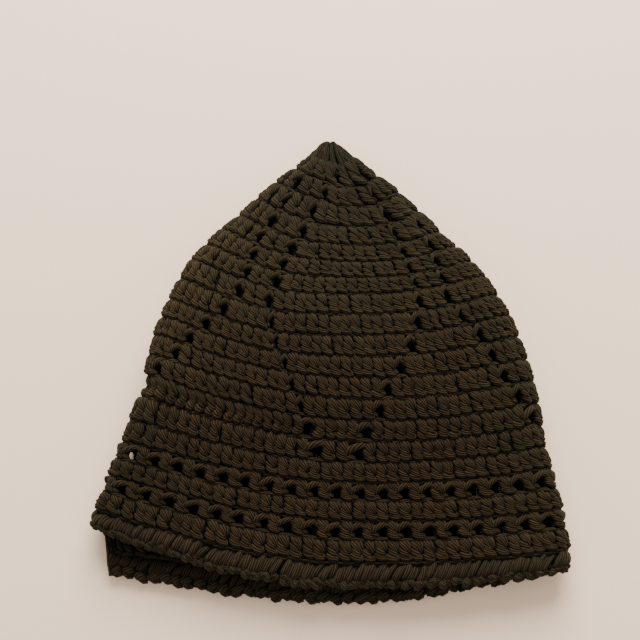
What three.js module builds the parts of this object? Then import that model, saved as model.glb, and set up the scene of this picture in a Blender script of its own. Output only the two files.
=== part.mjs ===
// Crocheted kufi lying flattened on one side: a deep round cap worked from its tip down to its rim.
// Millimetres, +Z up. The tip points along +Y, the mouth along -Y, and the under layer rests on Z = 0.
// Every solid is a stretch of one wall. A point of that wall is named by its round, counted from the
// tip, and by its share of the way round: 0 left fold, 0.25 middle of the upper layer, 0.5 right fold
// and 0.75 middle of the under layer.

import * as THREE from 'three';

// Driving dimensions
const CAP_WIDTH = 240;
const CAP_LENGTH = 241;
const WALL = 3.8;
const STITCHES = 80;
const COARSE_STITCHES = STITCHES / 2;
const SEAM_GAP_ROUNDS = 0.04;

// The rounds near the tip have COARSE_STITCHES corners as far as here, where the petals are widest
const COARSE_END = 9;
// First corners below the outer tip, and the inner tip with the first corners below it, as rounds
const OUTER_FIRST = 0.4;
const INNER_TIP = 0.9;
const INNER_FIRST = 1.5;

// Plan of the upper layer, a row for each round listed. leftX and rightX are where the round meets the
// folds, as shares of CAP_WIDTH from the middle. leftY, lowY and rightY are how far below the tip it
// meets the left fold, its lowest point and the right fold, as shares of CAP_LENGTH.
const PLAN = [
  { round: 0, leftX: -0.013, leftY: 0.007, lowY: 0.013, rightX: 0.025, rightY: 0.007 },
  { round: 1, leftX: -0.038, leftY: 0.035, lowY: 0.060, rightX: 0.055, rightY: 0.037 },
  { round: 2, leftX: -0.078, leftY: 0.069, lowY: 0.114, rightX: 0.106, rightY: 0.081 },
  { round: 3, leftX: -0.119, leftY: 0.103, lowY: 0.164, rightX: 0.154, rightY: 0.121 },
  { round: 4, leftX: -0.163, leftY: 0.143, lowY: 0.214, rightX: 0.201, rightY: 0.168 },
  { round: 5, leftX: -0.199, leftY: 0.183, lowY: 0.258, rightX: 0.246, rightY: 0.219 },
  { round: 6, leftX: -0.236, leftY: 0.213, lowY: 0.297, rightX: 0.282, rightY: 0.253 },
  { round: 8, leftX: -0.299, leftY: 0.283, lowY: 0.369, rightX: 0.342, rightY: 0.321 },
  { round: 10, leftX: -0.344, leftY: 0.370, lowY: 0.459, rightX: 0.391, rightY: 0.407 },
  { round: 12, leftX: -0.373, leftY: 0.448, lowY: 0.549, rightX: 0.425, rightY: 0.502 },
  { round: 13.6, leftX: -0.388, leftY: 0.519, lowY: 0.620, rightX: 0.442, rightY: 0.577 },
  { round: 14.5, leftX: -0.381, leftY: 0.557, lowY: 0.658, rightX: 0.449, rightY: 0.619 },
  { round: 15, leftX: -0.404, leftY: 0.578, lowY: 0.680, rightX: 0.451, rightY: 0.642 },
  { round: 16, leftX: -0.422, leftY: 0.629, lowY: 0.723, rightX: 0.458, rightY: 0.686 },
  { round: 17, leftX: -0.438, leftY: 0.673, lowY: 0.763, rightX: 0.470, rightY: 0.730 },
  { round: 18, leftX: -0.452, leftY: 0.709, lowY: 0.802, rightX: 0.481, rightY: 0.773 },
  { round: 20, leftX: -0.477, leftY: 0.779, lowY: 0.880, rightX: 0.495, rightY: 0.854 },
  { round: 21, leftX: -0.491, leftY: 0.812, lowY: 0.926, rightX: 0.500, rightY: 0.897 },
  { round: 22, leftX: -0.500, leftY: 0.847, lowY: 0.974, rightX: 0.496, rightY: 0.939 },
];

// The last row of the plan is the rim. The edging is one round high and the band five.
const BAND_ROUNDS = 5;
const ROUNDS = PLAN.at(-1).round;
const BAND_END = ROUNDS - 1;
const CROWN_END = BAND_END - BAND_ROUNDS;

// Where the lowest point of a round lies between the folds, and how fast the round rises to each side
const LOW_POINT = 0.57;
const RISE_LEFT = 1.9;
const RISE_RIGHT = 2.2;

// Height of the folded wall over its outer faces, and the extra rise in the middle of the upper layer
const HEIGHT = [
  { round: 0, fold: 9.5, crest: 0 },
  { round: 1, fold: 13, crest: 0.4 },
  { round: 2, fold: 16, crest: 1 },
  { round: 5, fold: 22, crest: 2 },
  { round: 9, fold: 26, crest: 3 },
  { round: 13, fold: 25, crest: 3 },
  { round: 16, fold: 21, crest: 2.5 },
  { round: 19, fold: 18, crest: 2 },
  { round: 22, fold: 16.5, crest: 1 },
];

// The under layer hangs out below the upper one. drop is that shift in the middle, slip the further
// shift along the left fold, where the upper layer is pulled up. Both are shares of CAP_LENGTH.
const UNDER = [
  { round: 0, drop: 0, slip: 0 },
  { round: 12, drop: 0, slip: 0 },
  { round: 16, drop: 0.010, slip: 0.022 },
  { round: 19, drop: 0.020, slip: 0.055 },
  { round: 22, drop: 0.026, slip: 0.063 },
];
const SLIP_START = 0.012;
const SLIP_END = 0.052;
const SLIP_FADE = 4;
const DROP_FADE_START = 0.60;
const DROP_FADE_END = 0.88;
const DROP_LEFT_OVER = 0.15;

// Round at which the left outline is nicked, between two of the rounds
const NOTCH_ROUND = 14.5;

// Soft fold in the upper layer: a low ridge that runs in from the nick in the left outline
const RIDGE = { height: 1.6, round: 14.2, climb: 5.2, width: 1.3, reach: 0.34 };

// Eyelets cut through: each is one stitch wide and spans this part of its round
const EYELET_START = 0.24;
const EYELET_END = 0.82;
const BAND_EYELET_ROUNDS = [18, 20];
const PETAL_EYELET_ROUNDS = [10, 11, 12, 13, 14];
// A petal between two lines of eyelets is PETAL_BASE stitches less two for each round
const PETAL_BASE = 35;

const COLOURS = { crown: '#31281b', band: '#30271a', edging: '#33301f' };

// Value of a named column at a round, straight between the rows listed
function column(table, name, round) {
  let next = table.findIndex((row) => row.round >= round);
  next = next < 0 ? table.length - 1 : Math.max(next, 1);
  const low = table[next - 1];
  const high = table[next];
  const share = THREE.MathUtils.clamp((round - low.round) / (high.round - low.round), 0, 1);
  return THREE.MathUtils.lerp(low[name], high[name], share);
}

// Outer plan point of a fold
function foldPoint(side, round) {
  return new THREE.Vector2(
    column(PLAN, side + 'X', round) * CAP_WIDTH,
    -column(PLAN, side + 'Y', round) * CAP_LENGTH,
  );
}

// Plan point of a fold on the middle of the wall, half a wall inside the outline
function foldCentre(side, round) {
  const step = 0.5;
  const before = foldPoint(side, Math.max(round - step, 0));
  const after = foldPoint(side, Math.min(round + step, ROUNDS));
  const along = after.sub(before).normalize();
  const inward = side === 'left' ? new THREE.Vector2(-along.y, along.x) : new THREE.Vector2(along.y, -along.x);
  return foldPoint(side, round).addScaledVector(inward, WALL / 2);
}

// Depth of a round below the tip at a share of the way between the folds, before any shift
function roundDepth(round, share, leftY, rightY, lowY) {
  if (share < LOW_POINT) {
    return lowY + (leftY - lowY) * Math.pow(1 - share / LOW_POINT, RISE_LEFT);
  }
  return lowY + (rightY - lowY) * Math.pow((share - LOW_POINT) / (1 - LOW_POINT), RISE_RIGHT);
}

// Height that the soft fold adds to the upper layer
function ridgeHeight(round, share) {
  const inReach = 1 - THREE.MathUtils.smoothstep(share, 0, RIDGE.reach);
  const offset = (round - (RIDGE.round - RIDGE.climb * share)) / RIDGE.width;
  return RIDGE.height * inReach * Math.exp(-offset * offset);
}

// Point on the middle of the wall
function wallPoint(round, around) {
  const turn = around - Math.floor(around);
  const left = foldCentre('left', round);
  const right = foldCentre('right', round);
  const lowY = -column(PLAN, 'lowY', round) * CAP_LENGTH;
  const radius = (column(HEIGHT, 'fold', round) - WALL) / 2;
  const width = right.x - left.x;
  const flat = Math.max(width - 2 * radius, 0);
  const quarter = (Math.PI * radius) / 2;
  const upper = turn < 0.5;
  const travelled = (upper ? turn : 1 - turn) * 2 * (flat + 2 * quarter);
  let across = radius + travelled - quarter;
  let lift = radius;
  if (travelled < quarter) {
    const angle = travelled / radius;
    across = radius * (1 - Math.cos(angle));
    lift = radius * Math.sin(angle);
  } else if (travelled > quarter + flat) {
    const angle = (travelled - quarter - flat) / radius;
    across = width - radius * (1 - Math.sin(angle));
    lift = radius * Math.cos(angle);
  }
  const share = across / width;
  const point = new THREE.Vector3(left.x + across, 0, 0);
  point.y = roundDepth(round, share, left.y, right.y, lowY);
  const base = WALL / 2 + radius;
  if (upper) {
    const crest = column(HEIGHT, 'crest', round);
    point.z = base + lift + (crest * Math.sin(Math.PI * share) + ridgeHeight(round, share)) * (lift / radius);
  } else {
    const drop = column(UNDER, 'drop', round) * CAP_LENGTH;
    const slip = column(UNDER, 'slip', round) * CAP_LENGTH;
    const shown = THREE.MathUtils.smoothstep(share, SLIP_START, SLIP_END);
    const fade = THREE.MathUtils.smoothstep(share, DROP_FADE_START, DROP_FADE_END);
    const atRight = THREE.MathUtils.smoothstep(1 - share, 0, SLIP_END);
    const hang = drop * (1 - (1 - DROP_LEFT_OVER) * fade) * atRight;
    point.y -= (hang + slip * Math.pow(1 - share, SLIP_FADE)) * shown;
    point.z = base - lift;
  }
  return point;
}

// Point on the outer (side 1) or inner (side -1) face of the wall
function facePoint(round, around, side) {
  const stepRound = 0.3;
  const stepAround = 0.4 / STITCHES;
  const early = Math.max(round - stepRound, 0.2);
  const alongRound = wallPoint(round, around + stepAround).sub(wallPoint(round, around - stepAround));
  const alongCap = wallPoint(Math.min(round + stepRound, ROUNDS), around).sub(wallPoint(early, around));
  const outward = alongCap.cross(alongRound).normalize();
  return wallPoint(round, around).addScaledVector(outward, (side * WALL) / 2);
}

// Collects the triangles of one closed body
class Body {
  constructor() {
    this.positions = [];
    this.index = [];
  }

  add(point) {
    this.positions.push(point.x, point.y, point.z);
    return this.positions.length / 3 - 1;
  }

  ring(round, count, side) {
    const corners = [];
    for (let i = 0; i < count; i += 1) {
      corners.push(this.add(facePoint(round, i / count, side)));
    }
    return corners;
  }

  triangle(a, b, c, flip) {
    if (flip) {
      this.index.push(a, c, b);
    } else {
      this.index.push(a, b, c);
    }
  }

  quad(a, b, c, d, flip) {
    this.triangle(a, b, c, flip);
    this.triangle(a, c, d, flip);
  }

  fan(pole, ring, flip) {
    for (let i = 0; i < ring.length; i += 1) {
      this.triangle(pole, ring[i], ring[(i + 1) % ring.length], flip);
    }
  }

  // Strip between an upper ring and a lower ring with as many corners or twice as many
  strip(upper, lower, flip, isOpen) {
    const ratio = lower.length / upper.length;
    for (let i = 0; i < upper.length; i += 1) {
      const a = upper[i];
      const b = upper[(i + 1) % upper.length];
      const c = lower[i * ratio];
      const d = lower[((i + 1) * ratio) % lower.length];
      if (ratio === 2) {
        const middle = lower[i * ratio + 1];
        this.triangle(a, c, middle, flip);
        this.triangle(a, middle, b, flip);
        this.triangle(b, middle, d, flip);
      } else if (!isOpen(i)) {
        this.quad(a, c, d, b, flip);
      }
    }
  }

  geometry() {
    const geometry = new THREE.BufferGeometry();
    geometry.setAttribute('position', new THREE.Float32BufferAttribute(this.positions, 3));
    geometry.setIndex(this.index);
    geometry.computeVertexNormals();
    return geometry;
  }
}

// Cells of the round that ends at the given number and that are eyelets
function eyeletCells(round) {
  if (BAND_EYELET_ROUNDS.includes(round)) {
    return new Set(Array.from({ length: STITCHES / 2 }, (_, i) => 2 * i + 1));
  }
  if (PETAL_EYELET_ROUNDS.includes(round)) {
    const half = (PETAL_BASE - 2 * round) / 2;
    const cells = new Set();
    for (let petal = 0; petal < 4; petal += 1) {
      const middle = (petal * STITCHES) / 4;
      cells.add((Math.floor(middle - half) + STITCHES) % STITCHES);
      cells.add((Math.floor(middle + half) + STITCHES) % STITCHES);
    }
    return cells;
  }
  return new Set();
}

// Levels of the wall between two rounds: each has its round, and the cells left open below it
function levelsBetween(start, end) {
  const levels = [{ at: start, open: new Set() }];
  for (let round = Math.floor(start) + 1; round <= Math.ceil(end); round += 1) {
    const open = eyeletCells(round);
    if (open.size > 0) {
      levels.push({ at: round - 1 + EYELET_START, open });
      levels.push({ at: round - 1 + EYELET_END, open: new Set() });
    }
    if (Math.ceil(NOTCH_ROUND) === round) {
      levels.push({ at: NOTCH_ROUND, open: new Set() });
    }
    levels.push({ at: Math.min(round, end), open: new Set() });
  }
  return levels;
}

// Outer and inner skins over the levels, with the walls of the eyelets between them
function addSkins(body, levels) {
  const outer = levels.map((level) => body.ring(level.at, STITCHES, 1));
  const inner = levels.map((level) => body.ring(level.at, STITCHES, -1));
  for (let i = 0; i + 1 < levels.length; i += 1) {
    const isOpen = (cell) => levels[i].open.has(cell);
    body.strip(outer[i], outer[i + 1], false, isOpen);
    body.strip(inner[i], inner[i + 1], true, isOpen);
    for (const cell of levels[i].open) {
      const next = (cell + 1) % STITCHES;
      body.quad(outer[i][cell], inner[i][cell], inner[i][next], outer[i][next], false);
      body.quad(outer[i + 1][cell], inner[i + 1][cell], inner[i + 1][next], outer[i + 1][next], true);
      body.quad(outer[i][cell], inner[i][cell], inner[i + 1][cell], outer[i + 1][cell], true);
      body.quad(outer[i][next], inner[i][next], inner[i + 1][next], outer[i + 1][next], false);
    }
  }
  return { top: [outer[0], inner[0]], bottom: [outer.at(-1), inner.at(-1)] };
}

// The given round and each whole round between it and the full rounds
function coarseRounds(first) {
  const rounds = [first];
  for (let round = Math.floor(first) + 1; round < COARSE_END; round += 1) {
    rounds.push(round);
  }
  return rounds;
}

// Crown: closed tip, coarse rounds as far as the widest part of the petals, then full rounds
function crownGeometry() {
  const body = new Body();
  const skins = addSkins(body, levelsBetween(COARSE_END, CROWN_END - SEAM_GAP_ROUNDS / 2));
  const ends = [
    { side: 1, pole: facePole(0, 1), first: OUTER_FIRST, ring: skins.top[0] },
    { side: -1, pole: facePole(INNER_TIP, 0), first: INNER_FIRST, ring: skins.top[1] },
  ];
  for (const end of ends) {
    const flip = end.side < 0;
    const rings = coarseRounds(end.first).map((round) => body.ring(round, COARSE_STITCHES, end.side));
    body.fan(body.add(end.pole), rings[0], flip);
    rings.push(end.ring);
    for (let i = 0; i + 1 < rings.length; i += 1) {
      body.strip(rings[i], rings[i + 1], flip, () => false);
    }
  }
  body.strip(skins.bottom[0], skins.bottom[1], false, () => false);
  return body.geometry();
}

// Tip of a skin: on the line of the cap, at mid height of the folded wall there
function facePole(round, walls) {
  const left = wallPoint(round, 0);
  const right = wallPoint(round, 0.5);
  const pole = left.add(right).multiplyScalar(0.5);
  pole.y += (walls * WALL) / 2;
  return pole;
}

// A stretch of wall that is open at both ends
function sleeveGeometry(start, end) {
  const body = new Body();
  const skins = addSkins(body, levelsBetween(start, end));
  body.strip(skins.top[0], skins.top[1], true, () => false);
  body.strip(skins.bottom[0], skins.bottom[1], false, () => false);
  return body.geometry();
}

function piece(name, geometry) {
  const material = new THREE.MeshStandardMaterial({ color: COLOURS[name], roughness: 0.95, metalness: 0 });
  const mesh = new THREE.Mesh(geometry, material);
  mesh.name = name;
  return mesh;
}

const kufi = new THREE.Group();
kufi.add(piece('crown', crownGeometry()));
kufi.add(piece('band', sleeveGeometry(CROWN_END + SEAM_GAP_ROUNDS / 2, BAND_END - SEAM_GAP_ROUNDS / 2)));
kufi.add(piece('edging', sleeveGeometry(BAND_END + SEAM_GAP_ROUNDS / 2, ROUNDS)));

// The cap lies with its middle over the origin and its under layer on Z = 0
const bounds = new THREE.Box3().setFromObject(kufi);
const middle = bounds.getCenter(new THREE.Vector3());
kufi.position.set(-middle.x, -middle.y, -bounds.min.z);

export default kufi;
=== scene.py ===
"""Crocheted kufi: a deep round cap in dark olive-brown yarn, lying flattened on a plain pale floor.

Every stitch is a small group of yarn strands. It is modelled once, copied along a row with an Array
modifier, and each copy is laid on its own place in the wall of the cap. A place in the wall is named by
its round, counted from the tip, and by its turn, the share of the way round: 0 left fold, 0.25 middle of
the upper layer, 0.5 right fold and 0.75 middle of the under layer.
"""

import math

import bpy
import numpy as np
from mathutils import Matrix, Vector


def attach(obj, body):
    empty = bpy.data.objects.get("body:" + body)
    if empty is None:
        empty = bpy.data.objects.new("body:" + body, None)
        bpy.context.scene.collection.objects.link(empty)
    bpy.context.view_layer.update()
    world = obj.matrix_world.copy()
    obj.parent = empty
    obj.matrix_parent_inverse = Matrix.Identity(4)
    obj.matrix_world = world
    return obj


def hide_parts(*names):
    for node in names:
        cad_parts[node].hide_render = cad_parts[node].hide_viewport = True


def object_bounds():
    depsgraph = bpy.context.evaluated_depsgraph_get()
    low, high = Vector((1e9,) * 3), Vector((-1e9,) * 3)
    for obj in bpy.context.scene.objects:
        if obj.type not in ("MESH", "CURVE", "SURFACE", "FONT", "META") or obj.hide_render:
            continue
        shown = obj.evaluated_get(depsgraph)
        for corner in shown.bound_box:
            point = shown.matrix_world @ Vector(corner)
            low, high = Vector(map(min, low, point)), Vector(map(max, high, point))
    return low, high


bl_info = {
    "name": "Crocheted Kufi",
    "version": (1, 0, 0),
    "blender": (4, 5, 0),
    "location": "View3D > Sidebar > Kufi",
    "description": "Crochets a kufi stitch by stitch over its plain solids",
    "category": "Add Mesh",
}

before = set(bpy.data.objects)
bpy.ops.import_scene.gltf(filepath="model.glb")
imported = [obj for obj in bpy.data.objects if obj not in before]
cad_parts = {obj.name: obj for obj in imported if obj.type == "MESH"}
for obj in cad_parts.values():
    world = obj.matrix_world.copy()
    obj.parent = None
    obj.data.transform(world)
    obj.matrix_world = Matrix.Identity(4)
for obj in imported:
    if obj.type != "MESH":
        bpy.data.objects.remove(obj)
CAD_LOW, CAD_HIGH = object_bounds()

MM = 0.001

# The undermost strands stand out of the wall, so the floor lies this far below the solids, in metres
FLOOR_GAP = 0.0024

# Wall of the cap, in millimetres. The rounds are counted from the tip.
CAP_WIDTH = 240.0
CAP_LENGTH = 241.0
WALL = 3.8
ROUNDS = 22

# Plan of the upper layer. The folds are shares of the width from the middle, the depths are shares of
# the length below the tip: at the left fold, at the lowest point of the round and at the right fold.
PLAN_COLUMNS = ("round", "left_x", "left_y", "low_y", "right_x", "right_y")
PLAN = (
    (0, -0.013, 0.007, 0.013, 0.025, 0.007),
    (1, -0.038, 0.035, 0.060, 0.055, 0.037),
    (2, -0.078, 0.069, 0.114, 0.106, 0.081),
    (3, -0.119, 0.103, 0.164, 0.154, 0.121),
    (4, -0.163, 0.143, 0.214, 0.201, 0.168),
    (5, -0.199, 0.183, 0.258, 0.246, 0.219),
    (6, -0.236, 0.213, 0.297, 0.282, 0.253),
    (8, -0.299, 0.283, 0.369, 0.342, 0.321),
    (10, -0.344, 0.370, 0.459, 0.391, 0.407),
    (12, -0.373, 0.448, 0.549, 0.425, 0.502),
    (13.6, -0.388, 0.519, 0.620, 0.442, 0.577),
    (14.5, -0.381, 0.557, 0.658, 0.449, 0.619),
    (15, -0.404, 0.578, 0.680, 0.451, 0.642),
    (16, -0.422, 0.629, 0.723, 0.458, 0.686),
    (17, -0.438, 0.673, 0.763, 0.470, 0.730),
    (18, -0.452, 0.709, 0.802, 0.481, 0.773),
    (20, -0.477, 0.779, 0.880, 0.495, 0.854),
    (21, -0.491, 0.812, 0.926, 0.500, 0.897),
    (22, -0.500, 0.847, 0.974, 0.496, 0.939),
)
LOW_POINT = 0.57
RISE_LEFT = 1.9
RISE_RIGHT = 2.2

# Height over the outer faces of the folded wall, and what the middle of the upper layer adds, in mm
HEIGHT_COLUMNS = ("round", "fold", "crest")
HEIGHT = (
    (0, 9.5, 0.0),
    (1, 13.0, 0.4),
    (2, 16.0, 1.0),
    (5, 22.0, 2.0),
    (9, 26.0, 3.0),
    (13, 25.0, 3.0),
    (16, 21.0, 2.5),
    (19, 18.0, 2.0),
    (22, 16.5, 1.0),
)

# The under layer hangs out below the upper one: shifts as shares of the length
UNDER_COLUMNS = ("round", "drop", "slip")
UNDER = (
    (0, 0.0, 0.0),
    (12, 0.0, 0.0),
    (16, 0.010, 0.022),
    (19, 0.020, 0.055),
    (22, 0.026, 0.063),
)
SLIP_START = 0.020
SLIP_END = 0.036
SLIP_FADE = 4.0
DROP_FADE_START = 0.60
DROP_FADE_END = 0.88
DROP_LEFT_OVER = 0.15

# Soft fold in the upper layer, running in from the nick in the left outline
RIDGE_HEIGHT = 1.6
RIDGE_ROUND = 14.2
RIDGE_CLIMB = 5.2
RIDGE_WIDTH = 1.3
RIDGE_REACH = 0.34

# Lines of eyelets beside the petals, as turns over the upper layer. A line starts at its first round, and
# the under layer mirrors it. How far its spaces are open is given at some rounds.
EYELET_LINES = (
    {"first": 3, "open": ((3, 1.0), (14, 1.0)),
     "turns": (0.084, 0.090, 0.088, 0.088, 0.096, 0.102, 0.102, 0.088, 0.072, 0.056, 0.044, 0.026)},
    {"first": 2, "open": ((8, 1.0), (10, 0.6), (14, 0.6), (15, 1.0)),
     "turns": (0.276, 0.204, 0.174, 0.164, 0.154, 0.150, 0.150, 0.146, 0.156, 0.166, 0.178, 0.190, 0.200,
               0.206, 0.222)},
    {"first": 2, "open": ((8, 0.7), (10, 1.0)),
     "turns": (0.420, 0.402, 0.394, 0.384, 0.380, 0.376, 0.374, 0.370, 0.360, 0.344, 0.324, 0.306, 0.294,
               0.276, 0.272)},
    {"first": 4, "open": ((7, 1.0), (8, 0.8), (9, 1.0)),
     "turns": (0.468, 0.452, 0.440, 0.428, 0.420, 0.412, 0.420, 0.436, 0.444, 0.452, 0.464, 0.476)},
)

# Stitches between two eyelets, by round: over a petal and over the strip between two petals
COUNT_COLUMNS = ("round", "petal", "strip")
COUNTS = (
    (2, 2, 2),
    (3, 4, 2),
    (4, 6, 2),
    (5, 8, 2),
    (6, 9, 2),
    (7, 11, 2),
    (8, 12, 2),
    (9, 13, 2),
    (10, 13, 4),
    (11, 12, 6),
    (12, 10, 8),
    (13, 8, 10),
    (14, 6, 12),
    (15, 4, 14),
    (16, 2, 15),
)

# First round: its stitches, how much of the first one lies before the left fold, the round that they
# start at, past the closed tip, how far they run under the next round, in rounds, how blunt the tip is, and
# what share of its width stays where they meet
FIRST_ROUND_STITCHES = 12
FIRST_ROUND_LEAD = 0.45
TIP_TOP = -0.85
TIP_OVERLAP = 0.18
TIP_BLUNTNESS = 0.85
TIP_OPENING = 0.10

# Stitches round the band, its eyelet rounds, the last rounds of the crown and of the band, the first round
# with petal eyelets, and the last one in the piece at the tip
BAND_STITCHES = 80
BAND_EYELET_ROUNDS = (18, 20)
CROWN_END = 16
BAND_END = 21
PETAL_EYELET_FIRST = 2
TIP_PIECE_END = 8

# Strands of one stitch: name, radius in mm, how far its ends taper, share of the yarn's twist, sides,
# segments and path. Each path point is across (0 to 1), down (0 tip side to 1 rim side) and out (mm from
# the middle of the wall).
POST_STRANDS = (
    ("low_leg", 1.25, 0.25, 0.5, 6, 5,
     ((0.08, -0.02, -0.6), (0.13, 0.05, 0.9), (0.27, 0.16, 1.4), (0.48, 0.30, 1.5), (0.69, 0.43, 1.0),
      (0.79, 0.50, -0.5))),
    ("middle_leg", 1.35, 0.25, 0.5, 6, 5,
     ((0.36, -0.06, -0.6), (0.41, 0.02, 1.0), (0.54, 0.14, 1.5), (0.70, 0.29, 1.5), (0.80, 0.42, 0.9),
      (0.84, 0.49, -0.4))),
    ("top_leg", 1.15, 0.25, 0.5, 6, 4,
     ((0.68, -0.05, -0.6), (0.72, 0.03, 1.0), (0.78, 0.14, 1.3), (0.84, 0.27, 1.1), (0.88, 0.40, -0.4))),
    ("upper_lump", 1.55, 0.3, 1.0, 7, 5,
     ((0.12, 0.26, -0.8), (0.19, 0.34, 0.6), (0.35, 0.46, 1.3), (0.58, 0.56, 1.3), (0.81, 0.63, -0.3))),
    ("lower_lump", 1.55, 0.3, 1.0, 7, 4,
     ((0.12, 0.53, -0.8), (0.20, 0.60, 0.8), (0.43, 0.71, 1.5), (0.70, 0.78, 1.2), (0.92, 0.82, -0.5))),
    ("knot", 0.95, 0.3, 1.0, 5, 3,
     ((0.83, 0.56, -0.4), (0.89, 0.65, 0.9), (0.97, 0.78, 1.1), (1.03, 0.87, 0.0))),
    ("chain", 0.75, 0.0, 0.6, 5, 3,
     ((-0.12, 0.95, 0.3), (0.25, 0.93, 0.9), (0.6, 0.96, 0.6), (1.12, 0.94, 0.4))),
)
BACK_STRANDS = (
    ("back_leg", 1.6, 0.25, 1.0, 5, 4,
     ((0.10, 0.00, -0.5), (0.20, 0.10, -1.5), (0.45, 0.28, -1.9), (0.70, 0.42, -1.6), (0.85, 0.52, -0.6))),
    ("back_lump", 1.6, 0.25, 1.0, 5, 4,
     ((1.02, 0.36, -0.5), (0.85, 0.46, -1.5), (0.50, 0.62, -1.9), (0.20, 0.74, -1.5), (0.06, 0.80, -0.6))),
    ("back_post", 1.2, 0.25, 1.0, 5, 4,
     ((0.60, -0.04, -0.5), (0.70, 0.04, -1.3), (0.90, 0.18, -1.5), (1.04, 0.30, -0.6))),
    ("back_chain", 1.3, 0.3, 1.0, 5, 3,
     ((-0.16, 0.94, -0.6), (0.15, 0.88, -1.5), (0.65, 0.90, -1.5), (1.05, 1.00, -0.6))),
    ("row_seam", 1.0, 0.0, 1.0, 4, 2,
     ((-0.12, 1.0, -0.4), (0.5, 1.0, -0.4), (1.12, 1.0, -0.4))),
)
STITCH_STRANDS = POST_STRANDS + BACK_STRANDS
TIP_STRANDS = (
    ("first_ray", 1.7, 0.15, 0.8, 7, 8,
     ((0.45, -0.10, 0.2), (0.40, 0.12, 0.5), (0.52, 0.35, 0.8), (0.36, 0.60, 1.0), (0.46, 0.85, 0.9),
      (0.60, 1.06, -0.4))),
    ("start_loop", 1.4, 0.0, 1.0, 6, 3, ((-0.10, -0.06, -0.4), (0.5, -0.10, 0.0), (1.10, -0.06, -0.4))),
    ("second_ray", 1.2, 0.2, 0.8, 6, 5,
     ((0.98, 0.35, -0.4), (0.94, 0.50, 0.6), (0.84, 0.72, 0.9), (0.92, 0.92, 0.6), (1.05, 1.04, -0.5))),
)
SPACE_STRANDS = (
    ("arch", 1.7, 0.25, 1.0, 7, 8,
     ((-0.34, 0.56, -0.6), (-0.24, 0.46, 0.7), (-0.02, 0.31, 1.2), (0.32, 0.17, 1.4), (0.66, 0.08, 0.9),
      (0.90, 0.02, -0.5))),
    ("side_lump", 1.4, 0.3, 1.0, 6, 4,
     ((-0.28, 0.58, -0.7), (-0.14, 0.60, 0.5), (0.08, 0.66, 0.8), (0.26, 0.76, -0.2))),
    ("arch_end", 1.3, 0.25, 1.0, 6, 5,
     ((0.50, 0.10, -0.4), (0.76, 0.11, 0.7), (1.02, 0.19, 0.9), (1.22, 0.34, -0.4))),
    ("arch_back", 1.3, 0.0, 1.0, 5, 4,
     ((-0.25, 0.14, -0.8), (0.5, 0.12, -1.2), (1.25, 0.14, -0.8))),
    ("bridge", 1.2, 0.0, 0.5, 6, 6,
     ((-0.25, 0.95, -0.4), (0.1, 0.91, 0.3), (0.5, 0.89, 0.4), (0.9, 0.91, 0.3), (1.25, 0.95, -0.4))),
    ("bridge_back", 1.2, 0.0, 1.0, 5, 4,
     ((-0.2, 0.97, -0.9), (0.5, 0.93, -1.2), (1.2, 0.97, -0.9))),
)
EDGE_STRANDS = (
    ("first_wrap", 1.45, 0.25, 0.45, 6, 6,
     ((0.56, 0.02, -0.8), (0.50, 0.11, 0.5), (0.36, 0.27, 1.3), (0.20, 0.46, 1.3), (0.08, 0.61, 0.8),
      (0.03, 0.70, -0.2))),
    ("second_wrap", 1.3, 0.25, 0.45, 6, 6,
     ((0.86, 0.10, -0.8), (0.80, 0.18, 0.5), (0.67, 0.33, 1.1), (0.52, 0.51, 1.1), (0.41, 0.64, 0.6),
      (0.36, 0.73, -0.3))),
    ("third_wrap", 1.45, 0.25, 0.45, 6, 6,
     ((1.22, 0.06, -0.8), (1.15, 0.14, 0.5), (1.00, 0.30, 1.4), (0.84, 0.48, 1.3), (0.73, 0.62, 0.8),
      (0.68, 0.71, -0.2))),
    ("first_knob", 1.45, 0.3, 0.6, 6, 4,
     ((0.02, 0.84, -0.2), (0.12, 0.75, 0.7), (0.30, 0.73, 1.0), (0.44, 0.80, 0.7), (0.50, 0.88, -0.4))),
    ("second_knob", 1.25, 0.3, 0.6, 6, 4,
     ((0.52, 0.82, -0.2), (0.63, 0.76, 0.5), (0.80, 0.75, 0.7), (0.93, 0.80, 0.4), (0.99, 0.86, -0.4))),
    ("wide_bump", 2.0, 0.25, 1.0, 7, 4,
     ((0.08, 0.76, 0.6), (0.18, 0.87, 0.4), (0.34, 0.90, -0.3), (0.50, 0.87, -1.1), (0.58, 0.76, -1.5))),
    ("small_bump", 1.3, 0.3, 1.0, 6, 3,
     ((0.64, 0.78, 0.4), (0.74, 0.87, 0.1), (0.88, 0.87, -0.5), (0.96, 0.76, -1.0))),
    ("back_first_wrap", 1.45, 0.25, 0.6, 6, 4,
     ((0.02, 0.04, -0.4), (0.10, 0.14, -1.4), (0.28, 0.34, -1.7), (0.44, 0.52, -1.4), (0.50, 0.62, -0.4))),
    ("back_second_wrap", 1.3, 0.25, 0.6, 6, 4,
     ((0.36, 0.08, -0.4), (0.44, 0.18, -1.3), (0.62, 0.38, -1.5), (0.78, 0.56, -1.3), (0.84, 0.66, -0.4))),
    ("back_third_wrap", 1.45, 0.25, 0.6, 6, 4,
     ((0.70, 0.02, -0.4), (0.78, 0.12, -1.4), (0.96, 0.32, -1.6), (1.12, 0.50, -1.4), (1.18, 0.60, -0.4))),
    ("back_knob", 1.9, 0.35, 1.0, 6, 4,
     ((0.20, 0.70, -0.4), (0.30, 0.68, -1.6), (0.52, 0.72, -2.0), (0.74, 0.78, -1.6), (0.84, 0.82, -0.4))),
)

# Flat yarn behind the strands, which closes the chinks between them and is painted darker as the shade in
# them: thickness and place out, in mm, how far it overlaps its neighbours, as a share of a stitch, and how
# much of the edging's depth it fills
WEB_THICK = 0.5
WEB_OUT = -0.8
WEB_OVERLAP = 0.12
EDGE_WEB_SHARE = 0.8
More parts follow.
